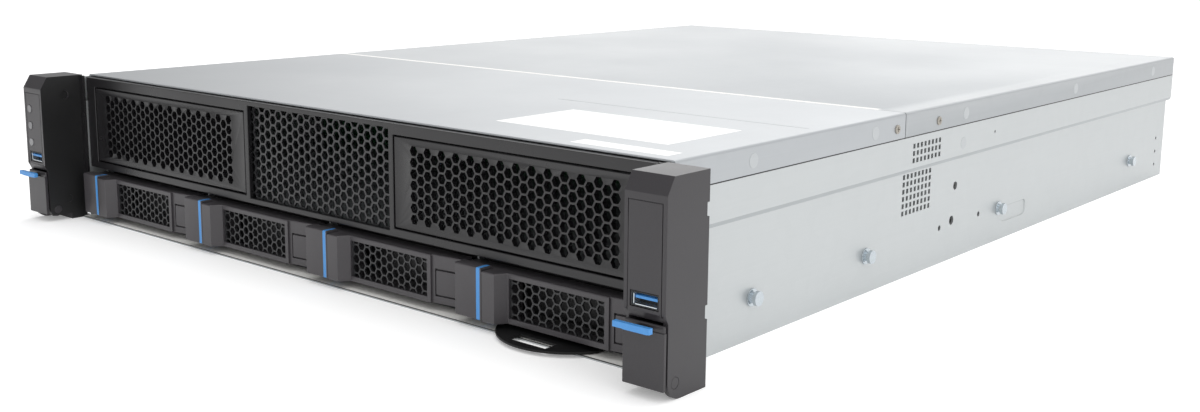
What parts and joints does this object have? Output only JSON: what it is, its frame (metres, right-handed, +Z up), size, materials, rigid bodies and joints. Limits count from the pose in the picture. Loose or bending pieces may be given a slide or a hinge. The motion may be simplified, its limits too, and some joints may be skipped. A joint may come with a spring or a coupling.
{
  "type": "rackmount video recorder",
  "caption": "Two-unit-high rack video recorder: plated steel chassis, perforated black front, latching ears, pull-out drive carriers and removable power supplies.",
  "frame": {"origin": "centre of the chassis underside, on the surface it stands on, halfway between the rack plane and the rear panel", "axes": "+X to the right seen from the front, +Y from front to back, +Z up"},
  "size_m": [0.482, 0.6663, 0.0865],
  "materials": {
    "sheet_steel": "zinc-plated sheet steel, satin",
    "stud_steel": "bright zinc plating",
    "black_plastic": "moulded black plastic, fine texture",
    "ear_plastic": "moulded charcoal plastic, fine texture",
    "mesh_steel": "black powder coat on perforated sheet",
    "blue_plastic": "moulded blue plastic",
    "button_plastic": "smooth dark plastic",
    "light_pipe": "clear grey light pipe",
    "port_shell": "bright nickel-plated shell",
    "tray_steel": "zinc-plated tray",
    "drive_metal": "cast and pressed drive case",
    "board": "green solder mask",
    "heatsink_metal": "bare extruded fins",
    "fan_plastic": "black moulded fan",
    "supply_case": "plated power supply case"
  },
  "bodies": {
    "chassis": {"base_pan": "sheet_steel", "side_wall_left": "sheet_steel", "side_wall_right": "sheet_steel", "rear_panel": "sheet_steel", "slot_covers": "sheet_steel", "front_cover": "sheet_steel", "rear_cover": "sheet_steel", "drive_cage": "sheet_steel", "ear_brackets": "sheet_steel", "rail_studs": "stud_steel", "latch_pins": "stud_steel", "front_bezel": "black_plastic", "left_filler_panel": "black_plastic", "right_filler_panel": "black_plastic", "ear_housing_left": "ear_plastic", "ear_housing_right": "ear_plastic", "center_grille": "mesh_steel", "status_light": "light_pipe", "usb_ports": "port_shell", "rear_ports": "port_shell", "backplane": "board", "system_board": "board", "memory_modules": "board", "cpu_heatsink": "heatsink_metal", "fan_frames": "fan_plastic"},
    "rack_latch_left": {"rack_latch_left": "ear_plastic", "latch_tab_left": "blue_plastic"},
    "rack_latch_right": {"rack_latch_right": "ear_plastic", "latch_tab_right": "blue_plastic"},
    "power_button": {"power_button": "button_plastic"},
    "locator_button": {"locator_button": "button_plastic"},
    "info_tab": {"info_tab": "black_plastic"},
    "carrier_1": {"carrier_front_1": "black_plastic", "carrier_mesh_1": "mesh_steel", "carrier_frame_1": "tray_steel", "drive_1": "drive_metal"},
    "carrier_latch_1": {"carrier_latch_1": "black_plastic"},
    "carrier_2": {"carrier_front_2": "black_plastic", "carrier_mesh_2": "mesh_steel", "carrier_frame_2": "tray_steel", "drive_2": "drive_metal"},
    "carrier_latch_2": {"carrier_latch_2": "black_plastic"},
    "carrier_3": {"carrier_front_3": "black_plastic", "carrier_mesh_3": "mesh_steel", "carrier_frame_3": "tray_steel", "drive_3": "drive_metal"},
    "carrier_latch_3": {"carrier_latch_3": "black_plastic"},
    "carrier_4": {"carrier_front_4": "black_plastic", "carrier_mesh_4": "mesh_steel", "carrier_frame_4": "tray_steel", "drive_4": "drive_metal"},
    "carrier_latch_4": {"carrier_latch_4": "black_plastic"},
    "power_supply_1": {"power_supply_1": "supply_case"},
    "supply_latch_1": {"supply_latch_1": "blue_plastic"},
    "power_supply_2": {"power_supply_2": "supply_case"},
    "supply_latch_2": {"supply_latch_2": "blue_plastic"},
    "fan_rotor_1": {"fan_rotor_1": "fan_plastic"},
    "fan_rotor_2": {"fan_rotor_2": "fan_plastic"},
    "fan_rotor_3": {"fan_rotor_3": "fan_plastic"}
  },
  "joints": [
    {"name": "carrier_slide_1", "type": "slide", "parent": "chassis", "child": "carrier_1", "axis": [0, -1, 0], "range_m": [0, 0.15]},
    {"name": "carrier_latch_slide_1", "type": "slide", "parent": "carrier_1", "child": "carrier_latch_1", "axis": [-1, 0, 0], "range_m": [0, 0.0025], "stiffness_N_per_m": 400},
    {"name": "carrier_slide_2", "type": "slide", "parent": "chassis", "child": "carrier_2", "axis": [0, -1, 0], "range_m": [0, 0.15]},
    {"name": "carrier_latch_slide_2", "type": "slide", "parent": "carrier_2", "child": "carrier_latch_2", "axis": [-1, 0, 0], "range_m": [0, 0.0025], "stiffness_N_per_m": 400},
    {"name": "carrier_slide_3", "type": "slide", "parent": "chassis", "child": "carrier_3", "axis": [0, -1, 0], "range_m": [0, 0.15]},
    {"name": "carrier_latch_slide_3", "type": "slide", "parent": "carrier_3", "child": "carrier_latch_3", "axis": [-1, 0, 0], "range_m": [0, 0.0025], "stiffness_N_per_m": 400},
    {"name": "carrier_slide_4", "type": "slide", "parent": "chassis", "child": "carrier_4", "axis": [0, -1, 0], "range_m": [0, 0.15]},
    {"name": "carrier_latch_slide_4", "type": "slide", "parent": "carrier_4", "child": "carrier_latch_4", "axis": [-1, 0, 0], "range_m": [0, 0.0025], "stiffness_N_per_m": 400},
    {"name": "rack_latch_hinge_left", "type": "hinge", "parent": "chassis", "child": "rack_latch_left", "pos_m": [-0.23085, -0.32265, 0.0068], "axis": [1, 0, 0], "range_deg": [0, 25], "stiffness_Nm_per_rad": 0.05},
    {"name": "rack_latch_hinge_right", "type": "hinge", "parent": "chassis", "child": "rack_latch_right", "pos_m": [0.23085, -0.32265, 0.0068], "axis": [1, 0, 0], "range_deg": [0, 25], "stiffness_Nm_per_rad": 0.05},
    {"name": "power_button_press", "type": "slide", "parent": "chassis", "child": "power_button", "axis": [0, 1, 0], "range_m": [0, 0.0008], "stiffness_N_per_m": 300},
    {"name": "locator_button_press", "type": "slide", "parent": "chassis", "child": "locator_button", "axis": [0, 1, 0], "range_m": [0, 0.0008], "stiffness_N_per_m": 300},
    {"name": "info_tab_slide", "type": "slide", "parent": "chassis", "child": "info_tab", "axis": [0, -1, 0], "range_m": [0, 0.06]},
    {"name": "power_supply_slide_1", "type": "slide", "parent": "chassis", "child": "power_supply_1", "axis": [0, 1, 0], "range_m": [0, 0.12]},
    {"name": "supply_latch_slide_1", "type": "slide", "parent": "power_supply_1", "child": "supply_latch_1", "axis": [-1, 0, 0], "range_m": [0, 0.0025], "stiffness_N_per_m": 500},
    {"name": "power_supply_slide_2", "type": "slide", "parent": "chassis", "child": "power_supply_2", "axis": [0, 1, 0], "range_m": [0, 0.12]},
    {"name": "supply_latch_slide_2", "type": "slide", "parent": "power_supply_2", "child": "supply_latch_2", "axis": [-1, 0, 0], "range_m": [0, 0.0025], "stiffness_N_per_m": 500},
    {"name": "fan_spin_1", "type": "hinge", "parent": "chassis", "child": "fan_rotor_1", "pos_m": [-0.13, -0.09, 0.0412], "axis": [0, 1, 0], "continuous": true},
    {"name": "fan_spin_2", "type": "hinge", "parent": "chassis", "child": "fan_rotor_2", "pos_m": [0, -0.09, 0.0412], "axis": [0, 1, 0], "continuous": true},
    {"name": "fan_spin_3", "type": "hinge", "parent": "chassis", "child": "fan_rotor_3", "pos_m": [0.13, -0.09, 0.0412], "axis": [0, 1, 0], "continuous": true}
  ]
}
